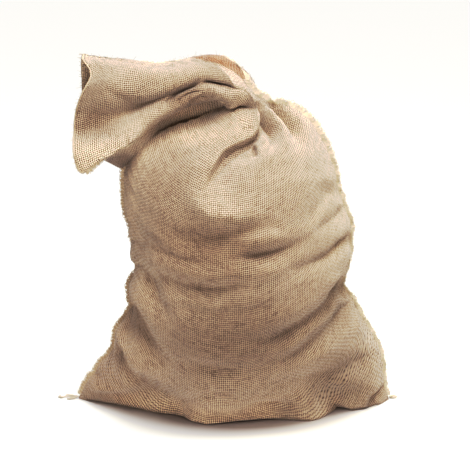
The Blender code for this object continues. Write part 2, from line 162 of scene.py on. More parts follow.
# folds: how deep each sinks in mm (a ridge is negative), its reach in mm to the left and right hand of
# someone walking along it, how soft its bottom is (1 a sharp crease, 2 round), how far its right-hand
# lip leans over it, how many times wider it ends, how much of its start and end fades away, and its
# line: on the front as it lies in the view, 470 units wide, on the back as x, z in mm seen from the front
Fold = namedtuple("Fold", "part side depth left right soft lean fan fades line")
foldRows = {
    ("body", "front"): (
        # the big roll that hangs from the gather, and the pocket under it
        (26, 24, 3, 1.25, 11, 1.0, (0.30, 0.28),
         ((258, 98), (258, 112), (257, 124), (253, 134), (244, 141), (232, 148), (221, 157), (213, 168),
          (208, 181), (205, 196))),
        (-9, 30, 40, 2.0, 0, 1.0, (0.2, 0.3),
         ((250, 98), (241, 116), (228, 136), (210, 156), (198, 178), (194, 198))),
        (-13, 32, 16, 1.7, 0, 1.0, (0.35, 0.45),
         ((188, 182), (193, 197), (202, 209), (216, 217), (234, 219), (254, 215), (276, 205))),
        (5, 4, 4, 1.7, 0, 1.0, (0.25, 0.5),
         ((254, 140), (245, 147), (233, 154), (222, 164), (214, 176), (209, 190))),
        (12, 5, 7, 1.6, 0, 1.0, (0.3, 0.3), ((252, 143), (254, 150), (256, 159))),
        (-9, 16, 14, 1.8, 0, 1.0, (0.3, 0.2), ((204, 119), (221, 113), (237, 107), (250, 102))),
        # pleats fanning out from the gather
        (21, 9, 7, 1.2, 5, 1.3, (0.12, 0.4),
         ((258, 100), (261, 111), (267, 121), (272, 131), (272, 142), (267, 153))),
        (-6, 9, 9, 1.8, 0, 1.3, (0.2, 0.4), ((262, 100), (272, 113), (281, 127), (284, 143), (280, 158))),
        (18, 9, 8, 1.3, 3, 1.4, (0.12, 0.5), ((267, 98), (280, 111), (291, 124), (298, 138), (302, 152))),
        (-5, 11, 11, 1.8, 0, 1.4, (0.2, 0.4), ((275, 99), (294, 111), (309, 126), (317, 145))),
        (8, 7, 7, 1.4, 0, 1.5, (0.12, 0.4), ((284, 101), (303, 112), (318, 128), (326, 148))),
        (5, 12, 12, 1.6, 0, 1.3, (0.2, 0.4), ((236, 104), (219, 112), (200, 124), (180, 132))),
        (4, 8, 10, 1.6, 0, 1.3, (0.2, 0.4), ((226, 108), (205, 113), (181, 123), (160, 133))),
        # slack sags across the front, top to bottom
        (10, 10, 22, 1.4, 0, 1.0, (0.2, 0.4), ((334, 182), (326, 201), (313, 217), (297, 229))),
        (7, 8, 14, 1.4, 0, 1.0, (0.2, 0.4), ((344, 204), (336, 216), (324, 227), (310, 236))),
        (17, 17, 28, 1.5, 0, 1.0, (0.35, 0.35),
         ((158, 226), (178, 236), (200, 241), (224, 238), (248, 231), (274, 219))),
        (-7, 10, 12, 1.8, 0, 1.0, (0.3, 0.3), ((226, 236), (246, 240), (268, 236), (288, 228))),
        (19, 10, 16, 1.4, 1, 1.0, (0.40, 0.40),
         ((224, 258), (246, 258), (268, 254), (290, 246), (316, 232))),
        (13, 8, 7, 1.4, 2, 2.2, (0.15, 0.55),
         ((354, 231), (342, 244), (327, 255), (309, 264), (289, 270), (266, 274))),
        (-6, 11, 12, 1.8, 0, 1.0, (0.3, 0.3), ((252, 270), (272, 272), (292, 266))),
        (15, 12, 22, 1.5, 0, 1.0, (0.35, 0.3),
         ((148, 264), (160, 275), (184, 286), (212, 290), (238, 286), (262, 278))),
        (7, 8, 12, 1.4, 0, 1.0, (0.3, 0.4), ((150, 246), (170, 257), (194, 263), (220, 264))),
        (8, 9, 16, 1.5, 0, 1.0, (0.3, 0.3), ((160, 300), (190, 310), (222, 313), (256, 309), (288, 298))),
        (18, 10, 10, 1.4, 2, 2.4, (0.08, 0.5),
         ((349, 276), (343, 287), (334, 300), (321, 315), (305, 327), (286, 336), (264, 341), (240, 343),
          (214, 342))),
        (-8, 12, 12, 1.8, 0, 1.0, (0.3, 0.2),
         ((270, 352), (290, 346), (308, 334), (324, 320), (338, 303), (349, 290))),
        (12, 7, 7, 1.4, 1, 2.6, (0.15, 0.5),
         ((354, 297), (341, 313), (327, 329), (312, 343), (295, 355), (272, 366), (246, 372))),
        (-7, 14, 14, 1.9, 0, 1.0, (0.3, 0.2), ((300, 366), (324, 350), (346, 334), (364, 318))),
        (15, 16, 30, 1.6, 0, 1.0, (0.3, 0.3),
         ((262, 392), (288, 387), (314, 380), (340, 371), (362, 360), (380, 346))),
        (9, 15, 24, 1.7, 0, 1.0, (0.4, 0.4), ((164, 352), (190, 366), (220, 372), (252, 370), (286, 364))),
        (5, 12, 20, 1.7, 0, 1.0, (0.3, 0.3), ((190, 388), (220, 398), (252, 400), (286, 397))),
        # at the left side, running in from the seam
        (11, 10, 13, 1.3, 3, 1.2, (0.1, 0.45),
         ((131, 261), (141, 268), (149, 280), (155, 296), (166, 312), (184, 326))),
        (-7, 12, 12, 1.8, 0, 1.3, (0.2, 0.4), ((127, 280), (135, 288), (143, 305), (153, 323), (170, 339))),
        (11, 11, 16, 1.3, 3, 1.2, (0.1, 0.45),
         ((125, 303), (134, 311), (142, 325), (150, 341), (164, 357), (186, 373))),
        (-7, 12, 12, 1.8, 0, 1.3, (0.2, 0.4), ((115, 328), (125, 336), (135, 352), (149, 369), (170, 385))),
        (10, 10, 15, 1.3, 2, 1.2, (0.1, 0.45),
         ((111, 347), (122, 354), (131, 368), (141, 383), (156, 396), (178, 409))),
        (8, 8, 10, 1.3, 1, 1.2, (0.15, 0.4), ((98, 360), (105, 374), (114, 388), (128, 401))),
        (5, 9, 12, 1.5, 0, 1.2, (0.2, 0.4), ((121, 212), (134, 228), (152, 243), (176, 254))),
        (3, 9, 12, 1.6, 0, 1.2, (0.2, 0.4), ((123, 180), (132, 194), (144, 210), (160, 226))),
        (6, 7, 9, 1.4, 0, 1.2, (0.2, 0.4), ((127, 236), (140, 250), (156, 262))),
        # between the right corner and the belly, and the lip above the floor
        (13, 6, 8, 1.3, 4, 1.0, (0.1, 0.2), ((390, 380), (380, 390), (364, 398), (348, 404), (336, 412))),
        (7, 6, 9, 1.3, 0, 1.0, (0.3, 0.3), ((236, 412), (266, 410), (296, 407), (326, 402))),
        (5, 7, 10, 1.4, 0, 1.0, (0.2, 0.3), ((172, 420), (182, 411), (196, 402), (214, 394))),
    ),
    ("body", "back"): (
        # across the back
        (26, 22, 12, 1.4, 8, 1.2, (0.1, 0.3), ((53, 520), (85, 486), (105, 446), (113, 410))),
        (14, 12, 14, 1.5, 0, 1.4, (0.1, 0.3), ((39, 548), (23, 505), (-7, 462), (-47, 428))),
        (10, 10, 12, 1.5, 0, 1.6, (0.1, 0.3), ((67, 560), (123, 530), (153, 492))),
        (10, 20, 28, 1.7, 0, 1.0, (0.3, 0.3), ((-157, 380), (-77, 352), (13, 348), (113, 366), (183, 396))),
        (14, 16, 26, 1.5, 0, 1.0, (0.2, 0.3), ((218, 256), (163, 232), (83, 214), (-7, 224))),
        (13, 14, 24, 1.5, 0, 1.0, (0.2, 0.3), ((-187, 284), (-137, 252), (-67, 240))),
        (13, 14, 24, 1.5, 0, 1.0, (0.2, 0.3), ((-197, 200), (-137, 156), (-57, 138), (33, 142))),
        (13, 14, 24, 1.5, 0, 1.0, (0.2, 0.3), ((263, 140), (193, 118), (113, 94))),
    ),
    ("neck", "front"): (
        # along the neck: the valley between its two rolls, and one behind
        (24, 9, 4, 1.2, 7, 1.0, (0.08, 0.25),
         ((254, 98), (250, 93), (244, 88), (235, 84), (223, 82), (209, 80), (198, 83))),
        (12, 15, 7, 1.4, 2, 1.0, (0.15, 0.30),
         ((208, 77), (196, 81), (184, 87), (168, 93), (152, 98), (134, 101), (112, 94), (92, 89))),
        (25, 22, 26, 1.8, 0, 1.0, (0.0, 0.45),
         ((66, 114), (84, 113), (104, 113), (126, 111), (146, 105), (166, 98), (182, 92))),
        (-9, 11, 11, 1.8, 0, 1.0, (0.3, 0.3), ((204, 82), (215, 89), (228, 94), (242, 98))),
        (13, 5, 6, 1.3, 0, 1.0, (0.2, 0.2), ((168, 110), (171, 101), (179, 91), (190, 85), (202, 82))),
        (10, 4, 5, 1.3, 0, 1.0, (0.2, 0.2), ((177, 107), (182, 99), (191, 93), (203, 91))),
        (8, 4, 4, 1.4, 0, 1.0, (0.2, 0.3), ((188, 106), (193, 100), (201, 97), (212, 98))),
        (8, 5, 5, 1.2, 0, 1.0, (0.25, 0.15), ((186, 57), (204, 60), (220, 64), (233, 71), (246, 84))),
        (22, 22, 24, 1.9, 0, 1.0, (0.0, 0.35),
         ((66, 134), (84, 132), (102, 128), (120, 121), (138, 114), (156, 110))),
    ),
    ("neck", "back"): (
        (26, 18, 20, 1.5, 0, 1.0, (0.1, 0.1), ((-246, 560), (-146, 575), (-56, 600), (10, 610))),
    ),
}
folds = [Fold(*where, *row) for where, rows in foldRows.items() for row in rows]


def loopPoint(along, turn):
    # the cloth before it is folded: turn 0 at the right seam, half a turn at the left, front between
    keys = [row.along for row in loops]
    left, right, front, back = (
        mm * smoothThrough(keys, [getattr(row, name) for row in loops], along)
        for name in ("left", "right", "front", "back")
    )
    pinch = smoothThrough(keys, [(row.pinch, row.pinch, row.sag) for row in loops], along)
    middle = (left + right) / 2
    face = np.where(np.sin(turn)[..., None] > 0, front, back)
    # in the neck the crest is round and the lower edge keen, and the back falls away from the crest
    behind = -0.40 * easeIn(along, 0.83, 0.89)
    full = np.where(np.sin(turn) < 0, behind, 0.38 * easeIn(along, 0.78, 0.86))
    pinch = pinch * (1 - full * np.cos(turn))[..., None]
    bulge = np.abs(np.sin(turn))[..., None] ** pinch
    return middle + np.cos(turn)[..., None] * (right - left) / 2 + bulge * (face - middle)


def loopNormal(along, turn):
    near = 0.002
    up = loopPoint(along + near, turn) - loopPoint(along - near, turn)
    around = loopPoint(along, turn + near) - loopPoint(along, turn - near)
    return unit(np.cross(up, around))


def seen(point):
    # where a point falls in the view, from its upper left corner with y down
    away = point - viewFrom
    scale = view["lens"] / view["sensor"] * view["units"] / -(away @ viewBack)
    middle = view["units"] / 2
    return np.stack((middle + scale * (away @ viewRight), middle - scale * (away @ viewUp)), axis=-1)


creases = {
    "steps": 8,  # from one point of a fold's line to the next
    "most": 3.6,  # where a fold ends for good, in its own reaches
    "past": 12.0,  # how softly its ends die away, in mm
    "broad": 9,  # the least reach of a broad fold, in mm
    "swell": (0.18, 0.06),  # how high a broad fold's lips stand, and a narrow one's, as shares of its depth
    "lip": (3.5, 9.0, 17.0),  # a leaning lip, in mm: where it starts, stays full to, and how it dies away
    "seamFade": 0.25,  # how far round from a seam the folds of a face come in
    "gatherFade": 0.03,  # how far from the gather they do
}


def foldMoves(fold, flat):
    # how far one fold sinks points that lie flat in the view, in metres, and how far it pushes them
    line = smoothLine(fold.line, creases["steps"])
    size = view["unit"] if fold.side == "front" else 1.0
    reachMost = creases["most"] * max(fold.left, fold.right) * max(fold.fan, 1.0) / size
    close = ((flat > line.min(axis=0) - reachMost) & (flat < line.max(axis=0) + reachMost)).all(axis=-1)
    sink = np.zeros(flat.shape[:-1])
    push = np.zeros((*flat.shape[:-1], 2))
    if not close.any():
        return sink, push
    to = flat[close][:, None] - line
    away = np.hypot(to[..., 0], to[..., 1])
    nearest = away.argmin(axis=-1)
    step = np.gradient(line, axis=0)[nearest]
    way = unit(step)
    to = to[np.arange(len(nearest)), nearest]
    ahead = (to * way).sum(axis=-1)
    last = len(line) - 1
    part = np.clip(nearest + np.clip(ahead / np.hypot(*step.T), -0.5, 0.5), 0, last) / last
    past = np.where(nearest == 0, -ahead, np.where(nearest == last, ahead, 0)).clip(0)
    leftHand = np.stack((way[:, 1], -way[:, 0]), axis=-1)
    if fold.side == "back":
        leftHand = -leftHand
    across = (to * leftHand).sum(axis=-1)
    away = np.hypot(across, past)
    onLeft = across > 0
    wide = 1 + (fold.fan - 1) * part
    soft = fold.soft + (2.0 - fold.soft) * part * (fold.fan > 1)
    reach = away * size / (wide * np.where(onLeft, fold.left, fold.right))
    fadeIn, fadeOut = fold.fades
    fade = easeIn(part, -0.02, fadeIn) * (1 - easeIn(part, 1 - fadeOut, 1.02))
    fade *= hump(past * size, 0, creases["past"])
    swell = creases["swell"][0 if min(fold.left, fold.right) > creases["broad"] else 1]
    sink[close] = mm * fold.depth * fade * (np.exp(-(reach**soft)) - swell * hump(reach, 2.0, 1.0))
    if fold.lean:
        # the bottom stays where it is, so the lip really tucks over it
        off = away * size
        starts, stays, dies = creases["lip"]
        lip = (1 - hump(off, 0, starts)) * hump(np.maximum(off - stays, 0), 0, dies)
        lip *= 1 - part * (fold.fan > 1)
        push[close] = (mm * fold.lean * fade * np.where(onLeft, 0.0, lip))[:, None] * leftHand
    return sink, push


# where the sack's lower edge lies in the view, ear to ear, and how high it hangs over the floor in mm
hem = {
    "line": ((70, 392), (80, 399), (97, 401.5), (127, 407), (150, 410.5), (171, 413.5), (183, 416.5),
             (190, 420), (205, 423.5), (221, 422), (238, 420), (260, 418.5), (280, 419), (298, 420.5),
             (311, 421), (320, 419), (330, 414), (338, 407.5), (344, 408), (352, 410.5), (366, 407.5),
             (380, 404), (389, 399), (396, 394)),
    "hang": ((70, 0), (150, 0), (190, 1), (250, 2), (300, 1), (330, 0), (396, 0)),
    "most": 0.050,  # how far the cloth may be moved, in metres
    "gain": 0.0051,  # how far it is moved for one unit in the view
    "broad": (24, 11.0),  # how many turns each side the moves are evened out over, and how softly
    "reach": (0.20, 0.055),  # how far up the cloth the broad moves and the local ones reach
    "backReach": 0.10,
    "drawn": (0.035, 0.018),  # just over the hem the cloth draws back: how far up, and its reach
    "drawnBy": 0.011,
}


def hemAlong(turn):
    # which row of the cloth makes that edge: the bottom fold at the ears, a belly row between
    return 0.15 * easeIn(np.sin(turn), 0.25, 0.85)


def hemMoves():
    # how far the edge must come forward and up, for each turn of the front
    turns = np.linspace(0, math.pi, 181)
    edge = clothPoint(hemAlong(turns), turns, fine=False, hemmed=False)
    page = seen(edge)
    wanted = np.interp(page[:, 0], *np.array(hem["line"]).T)
    height = mm * np.interp(page[:, 0], *np.array(hem["hang"]).T)
    forward = np.zeros(len(turns))
    for _ in range(3):
        moved = edge + np.column_stack((0 * forward, -forward, height - edge[:, 2]))
        forward += (wanted - seen(moved)[:, 1]) * hem["gain"]
    forward = np.clip(forward, -hem["most"], hem["most"])
    sides, softness = hem["broad"]
    bell = hump(np.arange(-sides, sides + 1), 0, softness)
    broad = np.convolve(np.pad(forward, sides, mode="edge"), bell / bell.sum(), "valid")
    return turns, broad, forward - broad, height - edge[:, 2]


# how far the left seam stands right of its loops, and the neck's crest above them: distance up the cloth, mm
nudges = {
    "left": ((0.0, 0), (0.045, -7), (0.095, -17), (0.113, -7), (0.135, 5), (0.155, 4), (0.18, -4),
             (0.203, -11), (0.216, -2), (0.24, 2), (0.28, 0)),
    "crest": ((0.76, 0), (0.785, 4), (0.82, 9), (0.85, 9), (0.885, 5), (0.925, 5), (0.96, 9), (1.0, 11),
              (1.05, 12)),
    "leftFade": (0.35, 1.0),  # how each comes in round the cloth, as a cosine
    "crestFade": (0.3, 0.95),
    "notch": (0.775, 0.016),  # where the crest dips in beside the gather, and its reach
    "notchBy": 0.008,
}


def nudged(which, along):
    places, moves = zip(*nudges[which])
    return mm * smoothThrough(places, np.array(moves)[:, None], along)[..., 0]


# soft pushes that shape the cloth: by how many metres; where up the cloth each comes in and goes out, or
# peaks and how far from there it reaches; its middle round the cloth and its reach before and after that,
# in half turns (1 is the left seam); and where round the cloth it comes in
pushes = {
    # the back of the neck hangs lower than its seam and rests on the shoulder behind, lowest at its end
    "droop": dict(by=(0.0, 0.028, -0.072), comes=(0.765, 0.81), goes=(0.985, 1.05), middle=1.16,
                  reach=(0.13, 0.13), starts=(1.0, 1.06)),
    "droopEnd": dict(by=(0.0, 0.00224, -0.00576), comes=(0.94, 1.0), goes=(0.985, 1.05), middle=1.16,
                     reach=(0.13, 0.13), starts=(1.0, 1.06)),
    # its lower lobe flares forward towards the mouth, and hangs on the shoulder beside the gather
    "lobe": dict(by=viewUp * 0.021, peak=(1.002, 0.028), reach=(0.14, 0.14)),
    "shoulder": dict(by=viewBack * 0.016 - viewUp * 0.019, peak=(0.782, 0.018), reach=(0.25, 0.25)),
    "flare": dict(by=viewBack * 0.062, comes=(0.86, 1.0), reach=(0.27, 0.16)),
    "tucked": dict(by=viewBack * -0.033, comes=(0.78, 0.85), goes=(0.90, 1.02)),
    # the roll rises in front of the hollow under the neck
    "rise": dict(by=viewUp * 0.008, comes=(0.60, 0.68), goes=(0.73, 0.77), middle=0.72, reach=(0.20, 0.20)),
    # the mouth stands open a little at its upper corner, in front and behind
    "gape": dict(by=(0.030, -0.006, 0.0), comes=(0.97, 1.05), middle=0.21, reach=(0.13369, 0.13369)),
    "lining": dict(by=(0.0, -0.026, 0.0), comes=(0.95, 1.03), middle=1.78, reach=(0.159155, 0.159155)),
}


def pushed(along, turn, by, comes=None, goes=None, peak=None, middle=1.0, reach=None, starts=None):
    halves = turn / math.pi
    share = np.ones(along.shape)
    if comes:
        share *= easeIn(along, *comes)
    if goes:
        share *= 1 - easeIn(along, *goes)
    if peak:
        share *= hump(along, *peak)
    if reach:
        share *= hump(halves, middle, np.where(halves < middle, *reach))
    if starts:
        share *= easeIn(halves, *starts)
    return share[..., None] * np.array(by)


wrinkles = {
    "wander": (0.055, 2.2, 5.0),  # folds run a little beside their lines: size, how far in front and behind
    "uneven": (0.06, 0.45),  # nor are they equally deep all along: size, how much
    "broad": (0.0020, 0.085),  # depth and size in metres
    "level": (0.0016, 0.036),
    "fine": (0.0006, 0.022),
    "pucker": (0.0009, 0.021),  # what the stitching draws in along both seams: depth and length
    "puckerReach": 0.012,
}


def wrinkled(point, along, turn):
    # how far small wrinkles sink the cloth
    rises = easeIn(along, 0.02, 0.10)
    depth, size = wrinkles["broad"]
    sink = depth * softNoise(point, size, 3) * rises
    depth, size = wrinkles["level"]
    sink += depth * softNoise(point * (0.35, 0.35, 1.5), size, 4) * rises
    depth, size = wrinkles["fine"]
    sink += depth * softNoise(point, size, 5)
    depth, size = wrinkles["pucker"]
    fromSeam = 0.17 * (1 - np.abs(np.cos(turn)))
    whichSeam = np.where(np.cos(turn) > 0, 1.0, 2.0)[..., None]
    wander = 3.0 * softNoise(point * (0, 0, 1) + whichSeam, 0.10, 8)
    wave = np.sin(along * 2 * math.pi / size + wander)
    return sink + depth * wave * np.exp(-fromSeam / wrinkles["puckerReach"])


def folded(point, along, turn):
    # how far all folds together sink and push the cloth
    size, inFront, behind = wrinkles["wander"]
    wander = np.stack((softNoise(point, size, 14), softNoise(point, size, 15)), axis=-1)
    inView = seen(point) + inFront * wander
    straightOn = point[..., (0, 2)] / mm + behind * wander
    size, much = wrinkles["uneven"]
    uneven = 1 + much * softNoise(point, size, 16)
    past = (along - gatherAt) / creases["gatherFade"]
    sink = np.zeros(point.shape[:-1])
    push = np.zeros(point.shape)
    for fold in folds:
        front = fold.side == "front"
        share = np.clip((np.sin(turn) if front else -np.sin(turn)) / creases["seamFade"] + 0.5, 0, 1)
        share = share * np.clip(past if fold.part == "neck" else -past, 0, 1)
        deep, aside = foldMoves(fold, inView if front else straightOn)
        sink += share * uneven * deep
        up = -viewUp if front else np.array((0.0, 0.0, 1.0))
        push += (share * aside[..., 0])[..., None] * viewRight + (share * aside[..., 1])[..., None] * up
    return sink, push


def clothPoint(along, turn, fine=True, hemmed=True):
    along, turn = np.broadcast_arrays(np.asarray(along, float), np.asarray(turn, float))
    point = loopPoint(along, turn)
    normal = loopNormal(along, turn)
    sink, push = folded(point, along, turn)
    for settings in pushes.values():
        push += pushed(along, turn, **settings)
    if fine:
        sink += wrinkled(point, along, turn)
    # the neck's crest beside the gather and towards the mouth, and the left seam
    crest = easeIn(np.cos(turn), *nudges["crestFade"])
    left = easeIn(-np.cos(turn), *nudges["leftFade"])
    aside = left * nudged("left", along) - crest * nudges["notchBy"] * hump(along, *nudges["notch"])
    push += (crest * nudged("crest", along))[..., None] * viewUp + aside[..., None] * viewRight
    sink *= np.clip(along / 0.05, 0, 1)
    point = point - sink[..., None] * normal + push
    point[..., 2] = np.maximum(point[..., 2], 0.0)
    if hemmed:
        front = np.sin(turn) >= 0
        mirrored = np.where(front, turn, 2 * math.pi - turn) % (2 * math.pi)
        above = along - hemAlong(mirrored)
        behind = easeIn(along, 0.0, hem["backReach"])
        far, near = (1 - np.where(front, easeIn(above, 0.0, reach), behind) for reach in hem["reach"])
        point[..., 1] += hem["drawnBy"] * hump(above, *hem["drawn"]) * easeIn(np.sin(turn), 0.15, 0.6)
        turns, broad, local, up = hemTable
        point[..., 1] -= far * np.interp(mirrored, turns, broad) + near * np.interp(mirrored, turns, local)
        point[..., 2] = np.maximum(point[..., 2] + near * np.interp(mirrored, turns, up), 0.0)
    return point


hemTable = hemMoves()


# mesh helpers

def addPiece(name, points, faces, uvs=None, values=None, merge=None):
    # a closed piece with its faces outwards; values is an attribute's name and its number at each point
    mesh = bpy.data.meshes.new(name)
    mesh.from_pydata([tuple(point) for point in points], [], faces)
    if uvs is not None:
        mesh.uv_layers.new(name="cloth").data.foreach_set("uv", uvs.ravel())
    if values:
        mesh.attributes.new(values[0], "FLOAT", "POINT").data.foreach_set("value", values[1])
    piece = bpy.data.objects.new(name, mesh)
    bpy.context.collection.objects.link(piece)
    shape = bmesh.new()
    shape.from_mesh(mesh)
    if merge:
        bmesh.ops.remove_doubles(shape, verts=shape.verts, dist=merge)
    bmesh.ops.recalc_face_normals(shape, faces=shape.faces)
    shape.to_mesh(mesh)
    shape.free()
    mesh.shade_smooth()
    return piece


def ringFaces(rows, around, offset=0):
    # quads between rings of the same size
    row = offset + np.arange(rows - 1)[:, None] * around
    low = row + np.arange(around)
    after = row + (np.arange(around) + 1) % around
    return np.stack((low, after, after + around, low + around), axis=-1).reshape(-1, 4)


def tubes(paths, radii, sides):
    # many small round strands in one mesh: paths is a list of point arrays, radii the same length each
    points = []
    faces = []
    count = 0
    corner = np.arange(sides)[:, None] * 2 * math.pi / sides
    for path, radius in zip(paths, radii):
        way = unit(np.gradient(path, axis=0))
        side = unit(np.cross(way, (0.0, 0.0, 1.0) if abs(way[0, 2]) < 0.9 else (1.0, 0.0, 0.0)))
        up = np.cross(side, way)
        ring = np.cos(corner) * side[:, None] + np.sin(corner) * up[:, None]
        points.append((path[:, None] + radius[:, None, None] * ring).reshape(-1, 3))
        faces += [tuple(face) for face in ringFaces(len(path), sides, count)]
        end = count + (len(path) - 1) * sides
        faces.append(tuple(range(count, count + sides)))
        faces.append(tuple(range(end + sides - 1, end - 1, -1)))
        count = end + sides
    return np.vstack(points), faces


def twisted(line, run, side, up, offset, twist, plies):
    # the plies of a yarn, twisted round its line
    turns = [(run * 2 * math.pi / twist + ply * 2 * math.pi / plies)[:, None] for ply in range(plies)]
    return [line + offset * (np.cos(turn) * side + np.sin(turn) * up) for turn in turns]


# how a loose fibre thins out towards its tip
fibreTaper = np.array((1.2, 1.0, 0.8, 0.4))


# the cloth

cloth = {
    "frontColumns": 184,
    "backColumns": 92,
    "bodyRows": 240,
    "neckRows": 90,
    "thick": 0.0016,
    "hollow": (0.80, 0.87),  # up the cloth, where the inside of the neck ends and where it is full width
    "evenAt": 0.36,  # up the cloth, the row that is shared out evenly
    "columnsCloser": (0.7, 0.01, 0.07),  # how much closer they stand, where across, and how far around it
    "rowsCloser": (0.8, 0.63, 0.10),  # the same up the cloth, where the great fold runs
}


def evenTurns(front, back):
    # turns that space the columns evenly round each face of the belly
    fineTurn = np.linspace(0, math.pi, 4000)
    ring = loopPoint(np.full(4000, cloth["evenAt"]), fineTurn)
    more, place, reach = cloth["columnsCloser"]
    dense = 1 + more * hump(ring[1:, 0], place, reach)
    run = np.concatenate(((0.0,), np.cumsum(dense * np.diff(lengthAlong(ring)))))
    run /= run[-1]
    return np.concatenate((
        np.interp(np.arange(front) / front, run, fineTurn),
        math.pi + np.interp(np.arange(back) / back, run, fineTurn),
    ))


def clothMap(outside, front):
    # flat place of each point, in metres: across from the middle of its face, and up from the bottom fold
    around = outside.shape[1]
    across = np.zeros(outside.shape[:2])
    ups = []
    for first, count in ((0, front), (front, around - front)):
        span = np.arange(first, first + count + 1) % around
        steps = np.linalg.norm(np.diff(outside[:, span], axis=1), axis=2)
        run = np.concatenate((np.zeros((len(outside), 1)), np.cumsum(steps, axis=1)), axis=1)
        run -= run[:, count // 2][:, None]
        across[:, span[:-1]] = run[:, :-1]
        for column in range(first + count // 4, first + 3 * count // 4, 4):
            ups.append(np.linalg.norm(np.diff(outside[:, column], axis=0), axis=1))
    up = np.concatenate(((0.0,), np.cumsum(np.mean(ups, axis=0))))
    return across, np.broadcast_to(up[:, None], across.shape)


def sackCloth():
    turns = evenTurns(cloth["frontColumns"], cloth["backColumns"])
    around = len(turns)
    spread = np.linspace(0, gatherAt, 2000)
    more, place, reach = cloth["rowsCloser"]
    dense = np.cumsum(1 + more * hump(spread, place, reach))
    alongs = np.concatenate((
        np.interp(np.linspace(dense[0], dense[-1], cloth["bodyRows"]), dense, spread),
        np.linspace(gatherAt, flatLength, cloth["neckRows"])[1:],
    ))
    outside = clothPoint(alongs[:, None], turns[None])
    across, up = clothMap(outside, cloth["frontColumns"])
    # the inside of the neck takes fewer rows, and narrows to its end
    ends, full = cloth["hollow"]
    deep = np.flatnonzero(alongs > ends)[::-1]
    deep = np.concatenate((deep[:8], deep[8:-3:3], deep[-3:]))
    nextRow = np.gradient(outside, axis=0)
    nextTurn = np.roll(outside, -1, axis=1) - np.roll(outside, 1, axis=1)
    normal = unit(np.cross(nextRow, nextTurn))
    inside = outside[deep] - cloth["thick"] * normal[deep]
    width = np.sqrt(np.minimum((alongs[deep] - ends) / (full - ends), 1.0))[:, None, None]
    centre = inside.mean(axis=1, keepdims=True)
    inside = centre + width * (inside - centre)
    points = np.concatenate((outside, inside)).reshape(-1, 3)
    flat = np.stack((across, up), axis=-1)
    flat = np.concatenate((flat, flat[deep])).reshape(-1, 2)
    rows = len(alongs) + len(deep)
    faces = ringFaces(rows, around)
    uvs = flat[faces]
    # the last column of each face carries on instead of jumping to the other face's numbers
    for column in (cloth["frontColumns"] - 1, around - 1):
        last = np.arange(rows - 1) * around + column
        gap = uvs[last, 0, 0] - uvs[last - 1, 0, 0]
        uvs[last, 1, 0] = uvs[last, 0, 0] + gap
        uvs[last, 2, 0] = uvs[last, 3, 0] + gap
    last = tuple(range((rows - 1) * around, rows * around))
    faces = [*(tuple(face) for face in faces), last]
    uvs = np.vstack((uvs.reshape(-1, 2), flat[list(last)]))
    # how far each point belongs to the far layer of the neck, which is painted in shade, darker and warmer
    page = seen(points)
    over = np.interp(page[:, 0], *np.array(farLayerShade).T) - page[:, 1]
    share = easeIn(over, -0.8, 0.8) * easeIn(page[:, 0], 178, 188) * (1 - easeIn(page[:, 0], 246, 252))
    share *= np.repeat(np.concatenate((alongs, alongs[deep])) > gatherAt - 0.01, around)
    piece = addPiece("hessianCloth", points, faces, uvs, values=("farLayerShade", share), merge=1e-5)
    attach(piece, "root")
    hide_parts("sack_cloth")
    return piece


hessianCloth = sackCloth()
print("cloth made,", len(hessianCloth.data.polygons), "faces")


# the overlocked side seams: a narrow double edge of cloth, and the thread whipped over it

seam = {
    "reach": 0.0066,  # how far the band stands off the sack
    "tuckedReach": 0.0012,
    "tucked": (0.54, 0.96),  # where up the cloth the left band is tucked away
    "thick": 0.0024,
    "pitch": 0.0060,  # from one stitch to the next
    "thread": 0.00048,
    "lean": (0.75, 1.05),  # how far a stitch slants, in pitches
    "deep": (-0.35, -0.15),  # where it goes into the cloth, and how far it stands off the edge, in reaches
    "proud": (1.10, 1.24),
    "first": 0.010,  # where up the cloth it starts
    "wave": (0.0016, 0.034),  # how far it waves from side to side, and how long a wave is
    "rightTurn": (0.80, (0.735, 0.775)),  # where the sack bends over it, the seam lies behind the edge
    "leftTurn": (0.30, (0.52, 0.58), (0.71, 0.76)),
    "frays": 1300,
    "frayLong": (0.0015, 0.0050),
    "frayRadius": 0.00022,
}


def seamFrame(turn, alongs):
    # the seam line with its outward and sideways directions
    if turn == 0.0:
        by, comes = seam["rightTurn"]
        turn = 2 * math.pi - by * easeIn(alongs, *comes)
    else:
        by, comes, goes = seam["leftTurn"]
        turn = turn + by * (easeIn(alongs, *comes) - easeIn(alongs, *goes))
    line = clothPoint(alongs, turn)
    way = unit(np.gradient(line, axis=0))
    step = 2 * math.pi / 60
    side = clothPoint(alongs, turn + step) - clothPoint(alongs, turn - step)
    out = unit(np.cross(way, side))
    for _ in range(6):
        out[1:-1] = unit(out[:-2] + 2 * out[1:-1] + out[2:])
    side = unit(np.cross(way, out))
    return line, way, out, side


def seamReach(alongs, tucked):
    # how wide the band is; a tucked one is narrow where the sack bends over it
    if not tucked:
        wider = 0.80 + 0.45 * easeIn(alongs, 0.40, 0.55)
        return seam["reach"] * (wider * (1 - 0.75 * easeIn(alongs, 0.74, 0.77)))
    low, high = seam["tucked"]
    inBend = easeIn(alongs, low - 0.02, low + 0.02) * (1 - easeIn(alongs, high - 0.02, high + 0.02))
    return seam["reach"] + (seam["tuckedReach"] - seam["reach"]) * inBend


def seamWave(alongs, seed):
    by, long = seam["wave"]
    return by * np.sin(alongs * 2 * math.pi / long + 2.0 * np.sin(alongs * 31.0 + seed))


